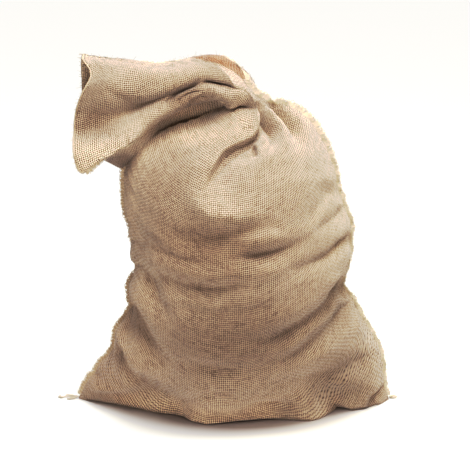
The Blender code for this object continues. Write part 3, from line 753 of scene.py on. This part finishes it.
def seamEdge(name, turn, tucked, seed):
    alongs = np.linspace(seam["first"], flatLength - 0.001, 640)
    line, way, out, side = seamFrame(turn, alongs)
    dice = np.random.default_rng(seed)
    # the cut edge under the thread is uneven
    rough = np.convolve(dice.normal(0, 1, len(alongs) + 6), np.ones(3) / 3, "same")[3:-3]
    scallop = np.abs(np.sin(alongs * math.pi / seam["pitch"]))
    thin = np.minimum(seamReach(alongs, tucked) / seam["reach"], 1.0)
    reach = seamReach(alongs, tucked) * (0.66 + 0.50 * scallop + 0.14 * rough)
    wave = seamWave(alongs, seed)
    # the band's section, from one side of the cloth round the edge to the other
    leaf = ((-0.35, 1.5), (0.10, 0.95), (0.45, 0.55), (0.9, 0.40), (1.0, 0.0))
    leaf += tuple((far, -wide) for far, wide in leaf[-2::-1])
    rings = []
    uvs = []
    for far, wide in leaf:
        away = np.maximum(far, 0) * reach + np.minimum(far, 0) * seam["reach"]
        bend = wave * np.clip(far, 0, 1)
        rings.append(line + out * away[:, None] + side * (wide * seam["thick"] * thin + bend)[:, None])
        uvs.append(np.stack((away + wide * seam["thick"], alongs), axis=-1))
    rings = np.stack(rings, axis=1)
    flat = np.stack(uvs, axis=1).reshape(-1, 2)
    faces = ringFaces(len(alongs), len(leaf))
    ends = np.arange(len(leaf)) + np.array(((0,), (len(alongs) - 1,))) * len(leaf)
    loopsUv = np.vstack((flat[faces].reshape(-1, 2), flat[ends].reshape(-1, 2)))
    piece = addPiece(name, rings.reshape(-1, 3), [tuple(face) for face in (*faces, *ends)], loopsUv)
    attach(piece, "root")
    return piece


def seamThread(name, turn, tucked, seed):
    dice = np.random.default_rng(seed)
    dense = np.linspace(seam["first"], flatLength - 0.002, 3000)
    line, way, out, side = seamFrame(turn, dense)
    run = lengthAlong(line)
    wave = seamWave(dense, seed)
    reachAll = seamReach(dense, tucked)

    def at(distance, far, wide):
        # a point on the band, by its distance along the seam
        place = np.interp(distance, run, np.arange(len(run)))
        k = np.clip(np.round(place).astype(int), 0, len(run) - 1)
        reach = reachAll[k]
        thick = seam["thick"] * np.minimum(reach / seam["reach"], 1.0)
        aside = wide * thick + wave[k] * np.clip(far, 0, 1)
        return line[k] + out[k] * (far * reach)[:, None] + side[k] * aside[:, None]

    paths = []
    radii = []
    # one slanted stitch after another, over the edge from front to back
    for n in range(int(run[-1] / seam["pitch"])):
        start = (n + 0.5) * seam["pitch"] + dice.normal(0, 0.0004)
        lean = seam["pitch"] * dice.uniform(*seam["lean"])
        deep = dice.uniform(*seam["deep"])
        proud = dice.uniform(*seam["proud"])
        far = np.array((deep, 0.25, 0.7, proud))
        far = np.append(far, far[::-1])
        wide = np.array((1.45, 1.0, 0.74, 0.36))
        wide = np.append(wide, -wide[::-1])
        slide = start + lean * np.array((0.0, 0.22, 0.40, 0.50, 0.55, 0.64, 0.82, 1.0))
        path = smoothLine(at(slide, far, wide), 2)
        paths.append(path)
        radii.append(np.full(len(path), seam["thread"] * dice.uniform(0.85, 1.15)))
    # the chain along the edge that the stitches lock into
    places = np.arange(0.004, run[-1] - 0.002, 0.0014)
    swing = np.sin(places * 2 * math.pi / seam["pitch"] + 0.6 * np.sin(places * 90.0))
    chain = at(places, 1.12 + 0.20 * swing, 0.40 * swing)
    paths.append(chain)
    radii.append(np.full(len(chain), seam["thread"] * 1.1))
    # broken fibres along the cut edge
    for _ in range(seam["frays"]):
        place = dice.uniform(0.004, run[-1] - 0.004)
        root, tip = at(np.array((place, place + dice.normal(0, 0.002))), np.array((0.9, 1.3)), np.zeros(2))
        steps = np.linspace(0, 1, 4)[:, None]
        lie = unit(unit(tip - root) + dice.normal(0, 0.45, 3))
        long = dice.uniform(*seam["frayLong"])
        paths.append(root + lie * long * steps + dice.normal(0, 0.3, 3) * long * steps**2)
        radii.append(seam["frayRadius"] * fibreTaper)
    piece = addPiece(name, *tubes(paths, radii, 6))
    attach(piece, "root")
    return piece


leftEdge = seamEdge("leftSeamEdge", math.pi, True, 11)
rightEdge = seamEdge("rightSeamEdge", 0.0, False, 12)
leftThread = seamThread("leftSeamThread", math.pi, True, 11)
rightThread = seamThread("rightSeamThread", 0.0, False, 12)
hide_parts("left_seam")
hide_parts("right_seam")
print("seams made")


# the selvedge round the mouth, a firmer yarn with broken ends standing off it

mouth = {
    "columns": 260,
    "plyRadius": 0.000936,
    "plyOffset": 0.0006,
    "twist": 0.007,
    "ends": 260,
    "endLong": (0.002, 0.008),
    "endRadius": 0.00030,
}


def mouthEdge():
    dice = np.random.default_rng(21)
    turns = evenTurns(mouth["columns"], mouth["columns"])
    ring = clothPoint(np.full(len(turns), flatLength), turns)
    inner = clothPoint(np.full(len(turns), flatLength - 0.004), turns)
    way = unit(ring - inner)
    ring = ring + way * 0.0002
    closed = np.vstack((ring, ring[:3]))
    paths = []
    radii = []
    run = lengthAlong(closed)
    along = unit(np.gradient(closed, axis=0))
    out = unit(np.vstack((way, way[:3])))
    side = np.cross(along, out)
    for path in twisted(closed, run, side, out, mouth["plyOffset"], mouth["twist"], 2):
        paths.append(path)
        radii.append(np.full(len(closed), mouth["plyRadius"]))
    for _ in range(mouth["ends"]):
        k = dice.integers(0, len(ring))
        long = dice.uniform(*mouth["endLong"])
        bend = dice.normal(0, 0.5, 3)
        steps = np.linspace(0, 1, 5)[:, None]
        start = ring[k] - way[k] * 0.001
        paths.append(start + way[k] * long * steps + bend * long * 0.6 * steps**2)
        radii.append(mouth["endRadius"] * np.linspace(1, 0.4, 5))
    piece = addPiece("mouthSelvedge", *tubes(paths, radii, 5))
    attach(piece, "root")
    return piece


mouthSelvedge = mouthEdge()
print("mouth made")


# the sewing thread's loose ends at both bottom corners, curled on the floor

tails = {
    "plyRadius": 0.0008,
    "plyOffset": 0.0007,
    "twist": 0.006,
    "fibres": 70,
    "fibreLong": (0.004, 0.009),
    "fibreRadius": 0.0004,
    "leftCorner": (-0.2867, 0.004),
    "rightCorner": (0.3067, 0.004),
    # the strands' routes on the floor, in mm from the corner
    "left": (
        ((-9, -1), (-18, 1), (-28, -3), (-33, 2), (-29, 4)),
        ((-6, 6), (-14, 9), (-20, 6)),
        ((-5, -7), (-11, -12), (-17, -10)),
    ),
    "right": (((6, -1), (12, 1)), ((4, 5), (8, 9))),
}


def curlyStrand(start, route, dice):
    # one end: three plies twisted together, opening a little towards the tip
    line = smoothLine(np.array(((0.0, 0.0), *route)) * mm, 10)
    height = 0.0011 + 0.0012 * np.abs(np.sin(np.linspace(0, 5, len(line)) + dice.uniform(0, 3)))
    middle = np.column_stack((line, height)) + (start[0], start[1], 0.0)
    way = unit(np.gradient(middle, axis=0))
    side = unit(np.cross(way, (0.0, 0.0, 1.0)))
    up = np.cross(side, way)
    run = lengthAlong(middle)
    spread = tails["plyOffset"] * (1 + 1.6 * (run / run[-1]) ** 2)[:, None]
    plies = twisted(middle, run, side, up, spread, tails["twist"], 3)
    for path in plies:
        path[:, 2] = np.maximum(path[:, 2], tails["plyRadius"])
    return plies


def threadTail(name, corner, routes, node, seed):
    dice = np.random.default_rng(seed)
    paths = []
    radii = []
    out = math.copysign(1.0, corner[0])
    for route in routes:
        for path in curlyStrand(corner, route, dice):
            paths.append(path)
            radii.append(tails["plyRadius"] * np.linspace(1.1, 0.6, len(path)))
    # the knot: a few tight turns of the same thread
    for k in range(3):
        angle = np.linspace(0, 2 * math.pi, 16)
        tilt = dice.uniform(-0.6, 0.6)
        ring = np.column_stack((
            0.0020 * np.cos(angle) * math.cos(tilt),
            0.0024 * np.sin(angle),
            0.0026 + 0.0018 * np.cos(angle) * math.sin(tilt) + 0.0006 * (k - 1),
        ))
        paths.append(ring + (corner[0], corner[1], 0.0))
        radii.append(np.full(16, tails["plyRadius"] * 1.2))
    # short fibres that the knot has shed
    for _ in range(tails["fibres"]):
        angle = dice.uniform(0, 2 * math.pi)
        steps = np.linspace(0, 1, 4)[:, None]
        way = np.array((math.cos(angle), 0.7 * math.sin(angle), dice.uniform(0.0, 0.5)))
        path = way * dice.uniform(*tails["fibreLong"]) * steps + dice.normal(0, 0.0004, (4, 3)) * steps
        path += (corner[0] + out * dice.uniform(0, 0.009), corner[1] + dice.normal(0, 0.003), 0.0012)
        path[:, 2] = np.maximum(path[:, 2], tails["fibreRadius"])
        paths.append(path)
        radii.append(tails["fibreRadius"] * fibreTaper)
    piece = addPiece(name, *tubes(paths, radii, 6))
    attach(piece, "root")
    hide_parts(node)
    return piece


leftTail = threadTail("leftThreadTail", tails["leftCorner"], tails["left"], "left_thread_tail", 31)
rightTail = threadTail("rightThreadTail", tails["rightCorner"], tails["right"], "right_thread_tail", 32)
print("thread tails made")


# loose jute hairs that stand off the cloth

hairs = {
    "count": 2600,
    "long": (0.003, 0.011),
    "radius": 0.00016,
}


def looseHairs():
    dice = np.random.default_rng(41)
    count = hairs["count"]
    along = dice.uniform(0.02, flatLength, count)
    turn = dice.uniform(0, 2 * math.pi, count)
    root = clothPoint(along, turn)
    ahead = clothPoint(along + 0.001, turn) - root
    aside = clothPoint(along, turn + 0.01) - root
    normal = unit(np.cross(ahead, aside))
    paths = []
    radii = []
    steps = np.linspace(0, 1, 4)[:, None]
    for k in range(count):
        long = dice.uniform(*hairs["long"])
        lie = unit(dice.normal(0, 1, 3) + 0.2 * normal[k])
        arc = 0.75 * lie * steps + 0.42 * normal[k] * np.sin(steps * 2.6)
        path = root[k] - 0.0003 * normal[k] + long * arc
        path += dice.normal(0, 0.0004, (4, 3)) * steps
        if path[:, 2].min() > 0.0004:
            paths.append(path)
            radii.append(hairs["radius"] * fibreTaper)
    piece = addPiece("looseHairs", *tubes(paths, radii, 3))
    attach(piece, "root")
    return piece


strayHairs = looseHairs()
print("hairs made")


# materials

class Field:
    # a value that changes over the surface: sums and products of these add Math nodes
    def __init__(self, paint, socket):
        self.paint = paint
        self.socket = socket

    def maths(self, operation, *others, turned=False):
        values = (*others, self) if turned else (self, *others)
        return self.paint.node("ShaderNodeMath", {"operation": operation}, dict(enumerate(values)))

    def __add__(self, other):
        return self.maths("ADD", other)

    def __sub__(self, other):
        return self.maths("SUBTRACT", other)

    def __rsub__(self, other):
        return self.maths("SUBTRACT", other, turned=True)

    def __mul__(self, other):
        return self.maths("MULTIPLY", other)

    def __truediv__(self, other):
        return self.maths("DIVIDE", other)

    def __pow__(self, other):
        return self.maths("POWER", other)

    def __mod__(self, other):
        return self.maths("FLOORED_MODULO", other)

    def __abs__(self):
        return self.maths("ABSOLUTE")

    def __neg__(self):
        return self * -1.0

    __radd__ = __add__
    __rmul__ = __mul__

    def floor(self):
        return self.maths("FLOOR")

    def max(self, other):
        return self.maths("MAXIMUM", other)

    def min(self, other):
        return self.maths("MINIMUM", other)

    def clamped(self):
        return self.max(0.0).min(1.0)


class Paint:
    # one material and its nodes
    def __init__(self, name):
        self.material = bpy.data.materials.new(name)
        self.material.use_nodes = True
        self.tree = self.material.node_tree
        self.tree.nodes.clear()
        self.output = self.tree.nodes.new("ShaderNodeOutputMaterial")

    def node(self, kind, settings, sockets, out=0):
        made = self.tree.nodes.new(kind)
        for key, value in settings.items():
            setattr(made, key, value)
        for key, value in sockets.items():
            socket = made.inputs[key]
            if isinstance(value, Field):
                self.tree.links.new(value.socket, socket)
            elif value is not None:
                socket.default_value = value
        return Field(self, made.outputs[out])

    def mix(self, factor, low, high):
        low = (*low, 1.0) if isinstance(low, tuple) else low
        high = (*high, 1.0) if isinstance(high, tuple) else high
        return self.node("ShaderNodeMix", {"data_type": "RGBA"}, {0: factor, 6: low, 7: high}, out=2)

    def noise(self, where, scale, detail=2.0):
        sockets = {"Vector": where, "Scale": scale, "Detail": detail, "Roughness": 0.55}
        return self.node("ShaderNodeTexNoise", {}, sockets)

    def point(self, x, y, z=0.0):
        return self.node("ShaderNodeCombineXYZ", {}, {0: x, 1: y, 2: z})

    def vector(self, operation, *values, out=0):
        return self.node("ShaderNodeVectorMath", {"operation": operation}, dict(enumerate(values)), out)

    def spot(self):
        return self.node("ShaderNodeTexCoord", {}, {}, out=3)

    def near(self, where, centre, size):
        # 1 at the centre, 0 beyond an ellipsoid of this size
        away = self.vector("DIVIDE", self.vector("SUBTRACT", where, centre), size)
        inside = (1.0 - self.vector("LENGTH", away, out=1)).max(0.0)
        return inside * inside * (3.0 - 2.0 * inside)

    def parts(self, vector):
        made = self.tree.nodes.new("ShaderNodeSeparateXYZ")
        self.tree.links.new(vector.socket, made.inputs[0])
        return [Field(self, socket) for socket in made.outputs]

    def finish(self, colour, roughness, height=None, distance=0.001, strength=1.0, sheen=0.0):
        sockets = {"Base Color": colour, "Roughness": roughness}
        sockets.update({"Sheen Weight": sheen, "Sheen Roughness": 0.45})
        if height is not None:
            bump = {"Strength": strength, "Distance": distance, "Height": height}
            sockets["Normal"] = self.node("ShaderNodeBump", {}, bump)
        shader = self.node("ShaderNodeBsdfPrincipled", {}, sockets)
        self.tree.links.new(shader.socket, self.output.inputs[0])
        return self.material


weave = {
    "pitch": 0.00375,  # from one yarn to the next, both ways
    # light and deep: the yarns' crowns painted lit and their low parts painted in shade; gap: the pinholes
    "light": (0.550, 0.446, 0.338),
    "deep": (0.105, 0.058, 0.029),
    "gap": (0.022, 0.012, 0.006),
    "bump": 0.0016,
    "pull": 0.55,  # how far the load bends the weft down in the belly
    "sheen": 0.35,
    "wander": 1.1,  # how far a yarn strays, in yarns
    "round": 2.6,  # the profile of a yarn, higher is squarer
    "slub": (0.35, 0.95),  # how much the thick and thin stretches of warp and weft show
    "contrast": 2.2,
    # painted light and shade: centre, reach, how much painted shade darkens (negative is painted light), how
    # much warmer the painted shade is
    "paintedShading": (
        ((-0.03, -0.16, 0.34), (0.2, 0.16, 0.1), 0.8, 0.3),
        ((0.02, -0.17, 0.17), (0.24, 0.16, 0.15), 1.0, 0.1),
        ((0.06, 0.0, 0.6), (0.09, 0.08, 0.06), 0.6, 0.0),
        ((-0.24, -0.09, 0.498), (0.08, 0.07, 0.06), -1.2, -0.4),
        ((-0.235, -0.06, 0.548), (0.07, 0.08, 0.045), 0.8, 0.2),
        ((-0.115, -0.1, 0.44), (0.12, 0.12, 0.12), 0.8, 0.0),
        ((-0.18, -0.04, 0.43), (0.05, 0.1, 0.1), -0.45, 0.1),
        ((-0.15, -0.03, 0.488), (0.06, 0.06, 0.035), -0.45, 0.0),
        ((-0.011, -0.08, 0.554), (0.09, 0.09, 0.06), -1.15, 0.0),
        ((-0.08, -0.02, 0.52), (0.1, 0.05, 0.035), -1.4, 0.0),
        ((-0.2, -0.02, 0.475), (0.05, 0.05, 0.05), 1.2, 0.2),
        ((-0.204, -0.035, 0.47), (0.04, 0.04, 0.035), 2.4, 0.4),
        ((-0.075, 0.005, 0.585), (0.06, 0.06, 0.04), 1.1, 0.3),
        ((-0.07, 0.05, 0.54), (0.12, 0.05, 0.06), -1.0, 0.0),
        ((-0.264, 0.01, 0.62), (0.05, 0.05, 0.07), -1.0, 0.0),
        ((-0.14, -0.05, 0.62), (0.18, 0.1, 0.08), 0.85, 0.0),
        ((0.229, -0.09, 0.07), (0.12, 0.13, 0.11), 0.95, 0.0),
        ((0.2, -0.07, 0.2), (0.08, 0.12, 0.08), 0.5, 0.0),
        ((0.2, -0.03, 0.38), (0.09, 0.14, 0.2), -0.28, -0.2),
        ((-0.24, -0.02, 0.08), (0.16, 0.16, 0.14), 0.1, 0.4),
        ((0.02, -0.14, 0.0), (0.4, 0.16, 0.07), -1.4, 0.0),
        ((-0.16, -0.06, 0.2), (0.14, 0.14, 0.18), -0.4, 0.2),
        ((-0.17, -0.06, 0.37), (0.05, 0.1, 0.08), -0.4, 0.2),
        ((-0.15, -0.07, 0.005), (0.12, 0.1, 0.05), -0.8, 0.0),
        ((0.205, -0.07, 0.012), (0.07, 0.07, 0.05), -0.6, 0.0),
        ((0.133, -0.115, 0.012), (0.08, 0.07, 0.05), 1.3, 0.0),
    ),
    # how the painted shade, the painted light and the painted shade's warmth multiply the colour
    "paintedShade": (0.62, 0.60, 0.58),
    "paintedLight": (1.54, 1.52, 1.46),
    "shadeWarmth": (1.0, 0.86, 0.74),
    # the far layer's painted shade
    "farLayerShade": (0.56, 0.38, 0.27),
    # where the yarns stand out more, or less
    "crisp": (
        ((0.0, -0.16, 0.27), (0.22, 0.16, 0.16), -0.5),
        ((0.17, -0.06, 0.45), (0.16, 0.16, 0.22), 1.2),
        ((0.22, -0.08, 0.08), (0.18, 0.16, 0.14), 0.2),
        ((0.13, -0.115, 0.02), (0.12, 0.08, 0.07), -0.6),
        ((0.07, -0.15, 0.31), (0.15, 0.16, 0.1), 0.6),
        ((-0.24, -0.09, 0.5), (0.1, 0.1, 0.08), 1.1),
        ((0.02, -0.12, 0.47), (0.13, 0.12, 0.1), 0.5),
        ((-0.16, -0.06, 0.6), (0.15, 0.12, 0.08), 0.7),
        ((-0.17, -0.08, 0.33), (0.11, 0.12, 0.14), -0.45),
        ((-0.14, -0.06, 0.45), (0.07, 0.08, 0.06), -0.45),
    ),
}


def hessianPaint():
    paint = Paint("hessianWeave")
    place = paint.node("ShaderNodeUVMap", {"uv_map": "cloth"}, {})
    spot = paint.spot()
    u, v, _ = paint.parts(place)
    # the yarns wander a little from straight
    wanderU = paint.noise(paint.point(u * 14.0, v * 60.0), 1.0) - 0.5
    wanderV = paint.noise(paint.point(u * 60.0, v * 14.0, 3.0), 1.0) - 0.5
    warpPlace = u / weave["pitch"] + wanderU * weave["wander"]
    # the load pulls the weft down in the middle of the belly
    x, _, z = paint.parts(spot)
    pulled = ((z - 0.03) * 8.0).clamped() * ((0.47 - z) * 6.0).clamped()
    weftPlace = (v - x * x * pulled * weave["pull"]) / weave["pitch"] + wanderV * weave["wander"]
    warpIndex = warpPlace.floor()
    weftIndex = weftPlace.floor()
    fromWarp = abs(warpPlace - warpIndex - 0.5) * 2.0
    fromWeft = abs(weftPlace - weftIndex - 0.5) * 2.0
    over = (warpIndex + weftIndex) % 2.0
    # each yarn has thick and thin stretches of its own
    slubWarp = paint.noise(paint.point(warpIndex * 3.7, v * 45.0), 1.0, 3.0)
    slubWeft = paint.noise(paint.point(u * 45.0, weftIndex * 3.7, 9.0), 1.0, 3.0)
    warpTop = (1.0 - fromWarp ** weave["round"]) * (0.45 + 0.55 * over) * (0.65 + 0.7 * slubWarp)
    weftTop = (1.0 - fromWeft ** weave["round"]) * (1.0 - 0.55 * over) * (0.65 + 0.7 * slubWeft)
    height = warpTop.max(weftTop)
    # dark pinholes where four yarns meet, deeper in every other row, which is beaten up less tightly
    loose = weftPlace * 0.5
    loose = abs(loose - loose.floor() - 0.5) * 2.0
    corner = ((fromWarp - 0.35) * 2.4).clamped() * ((fromWeft - 0.35) * 2.4).clamped()
    openness = paint.noise(paint.point(u * 90.0, v * 150.0, 5.0), 1.0, 3.0)
    hole = corner * ((openness - 0.30) * 3.2).clamped() * (0.55 + 0.45 * loose)
    patches = paint.noise(spot, 9.0, 3.0)
    # broad soft painted shade and painted light on the cloth, the shade warmer and redder
    paintedShade = 0.0
    shadeWarmth = 0.0
    for centre, size, darker, redder in weave["paintedShading"]:
        near = paint.near(spot, centre, size)
        paintedShade = near * darker + paintedShade
        shadeWarmth = near * redder + shadeWarmth
    crisp = 1.0
    for centre, size, more in weave["crisp"]:
        crisp = paint.near(spot, centre, size) * more + crisp
    fine = paint.noise(spot, 700.0, 2.0)
    warpShows, weftShows = weave["slub"]
    # the higher the yarn stands the lighter it is painted: painted light on its crowns, painted shade where
    # it dips
    tone = (height - 0.70) * weave["contrast"] + (slubWeft - 0.5) * weftShows
    tone = tone + (slubWarp - 0.5) * warpShows + (fine - 0.5) * 0.3
    tone = (tone * crisp + (patches - 0.5) * 0.35 + 0.52).clamped()
    hole = (hole * crisp).clamped()
    colour = paint.mix(tone, weave["deep"], weave["light"])
    colour = paint.mix(hole, colour, weave["gap"])
    # the far layer of the neck, painted in shade
    far = paint.node("ShaderNodeAttribute", {"attribute_name": "farLayerShade"}, {}, out=2)
    # painted light where the painted shade is negative
    paintedLight = (-paintedShade).clamped()
    shares = (("paintedShade", paintedShade.clamped()), ("paintedLight", paintedLight), ("shadeWarmth", shadeWarmth.clamped()), ("farLayerShade", far))
    for name, share in shares:
        colour = paint.mix(share, colour, paint.vector("MULTIPLY", colour, weave[name]))
    relief = height * (1.0 - hole * 0.9) + (fine - 0.5) * 0.15
    return paint.finish(colour, 0.93, relief, distance=weave["bump"], strength=0.9, sheen=weave["sheen"])


def threadPaint(name, light, deep):
    paint = Paint(name)
    spot = paint.spot()
    strand = paint.noise(spot, 900.0, 2.0)
    patch = paint.noise(spot, 40.0, 2.0)
    colour = paint.mix((strand * 0.8 + patch * 0.4 - 0.1).clamped(), deep, light)
    return paint.finish(colour, 0.85, strand, distance=0.0004, strength=0.8)


hessianWeave = hessianPaint()
seamJute = threadPaint("seamJute", (0.82, 0.74, 0.61), (0.48, 0.40, 0.30))
bandJute = threadPaint("bandJute", (0.60, 0.50, 0.37), (0.38, 0.29, 0.20))
# the right band: a paler copy of the band's colour, a painted highlight where light from the right falls on
# it
litBandJute = threadPaint("litBandJute", (0.72, 0.63, 0.48), (0.48, 0.40, 0.28))
fibreJute = threadPaint("fibreJute", (0.48, 0.38, 0.265), (0.30, 0.22, 0.145))
for piece, finish in (
    (hessianCloth, hessianWeave), (leftEdge, bandJute), (rightEdge, litBandJute),
    (leftThread, seamJute), (rightThread, seamJute), (leftTail, seamJute), (rightTail, seamJute),
    (mouthSelvedge, bandJute), (strayHairs, fibreJute),
):
    piece.data.materials.clear()
    piece.data.materials.append(finish)
print("materials made")


# floor and light

studio = {
    "floor": (0.27, 0.84),  # the floor round the sack, painted darker as its contact shadow, and far off
    "sky": 0.18,
    # even light from above for the whole floor
    "sun": ((0.04, 0.40, 1.0), 3.3, 50.0, (1.0, 0.99, 0.97)),
    # place, aim, size, power, colour and a strip's height
    "lamps": {
        # close over the sack
        "topLight": ((0.16, -0.52, 1.46), (0.02, 0.0, 0.5), 0.7, 19.5, (1.0, 0.975, 0.94)),
        # for its foot
        "lowLight": ((-0.45, -1.60, 0.10), (0.0, 0.0, 0.05), 0.7, 6.4, (0.96, 0.97, 0.98)),
        "hemLight": ((0.02, -1.1, 0.035), (0.0, 0.0, 0.012), 0.8, 0.11, (1.0, 0.97, 0.94), 0.03),
        # a small one at its right
        "sideLight": ((0.85, 0.10, 1.25), (0.2, 0.0, 0.5), 0.4, 9.0, (1.0, 0.95, 0.80)),
    },
    "paintedFloorShadow": ((0.025, 0.0, 0.0), (0.31, 0.25, 0.5)),  # the painted contact shadow on the floor round the sack: its centre and reach
    # a print-like tone curve: deep browns in the shade, pale highlights, a clean white floor
    "curves": {
        3: ((0.16, 0.093), (0.235, 0.158), (0.33, 0.27), (0.45, 0.43), (0.60, 0.585), (0.78, 0.73),
            (0.92, 0.90)),
        1: ((0.10, 0.088), (0.20, 0.182), (0.35, 0.338), (0.55, 0.55), (0.72, 0.718), (0.84, 0.856)),
        2: ((0.06, 0.050), (0.12, 0.105), (0.22, 0.205), (0.40, 0.40)),
    },
}


def addSun(name, towards, power, soft, colour):
    bpy.ops.object.light_add(type="SUN", location=(0.0, 0.0, 3.0))
    lamp = bpy.context.object
    lamp.name = name
    lamp.data.energy = power
    lamp.data.angle = math.radians(soft)
    lamp.data.color = colour
    lamp.rotation_euler = Vector(towards).to_track_quat("Z", "Y").to_euler()


def addLight(name, place, aim, size, power, colour, strip=None):
    bpy.ops.object.light_add(type="AREA", location=place)
    lamp = bpy.context.object
    lamp.name = name
    lamp.data.shape = "DISK"
    lamp.data.size = size
    lamp.data.energy = power
    lamp.data.color = colour
    if strip:
        # a low strip with a narrow beam
        lamp.data.shape = "RECTANGLE"
        lamp.data.size_y = strip
        lamp.data.spread = math.radians(20)
    lamp.rotation_euler = (Vector(place) - Vector(aim)).to_track_quat("Z", "Y").to_euler()


def addStudio():
    bpy.ops.object.select_all(action="DESELECT")
    bpy.ops.mesh.primitive_plane_add(size=60.0, location=(0.0, 0.0, -0.0005))
    floor = bpy.context.object
    floor.name = "studioFloor"
    paint = Paint("floorPaint")
    near, far = studio["floor"]
    # a painted contact shadow: the floor darker and warmer round the sack's foot
    paintedFloorShadow = (paint.near(paint.spot(), *studio["paintedFloorShadow"]) * 2.8).min(1.0)
    colour = paint.mix(paintedFloorShadow, (far, far, far), (near, near * 0.90, near * 0.84))
    floor.data.materials.append(paint.finish(colour, 0.9))
    addSun("evenLight", *studio["sun"])
    for name, lamp in studio["lamps"].items():
        addLight(name, *lamp)
    world = bpy.data.worlds.new("studioSky")
    world.use_nodes = True
    sky = world.node_tree.nodes["Background"].inputs
    sky["Color"].default_value = (1.0, 0.96, 0.90, 1.0)
    sky["Strength"].default_value = studio["sky"]
    bpy.context.scene.world = world
    looks = bpy.context.scene.view_settings
    looks.view_transform = "Standard"
    looks.use_curve_mapping = True
    for channel, places in studio["curves"].items():
        for place in places:
            looks.curve_mapping.curves[channel].points.new(*place)
    looks.curve_mapping.update()


addStudio()
print("studio made")
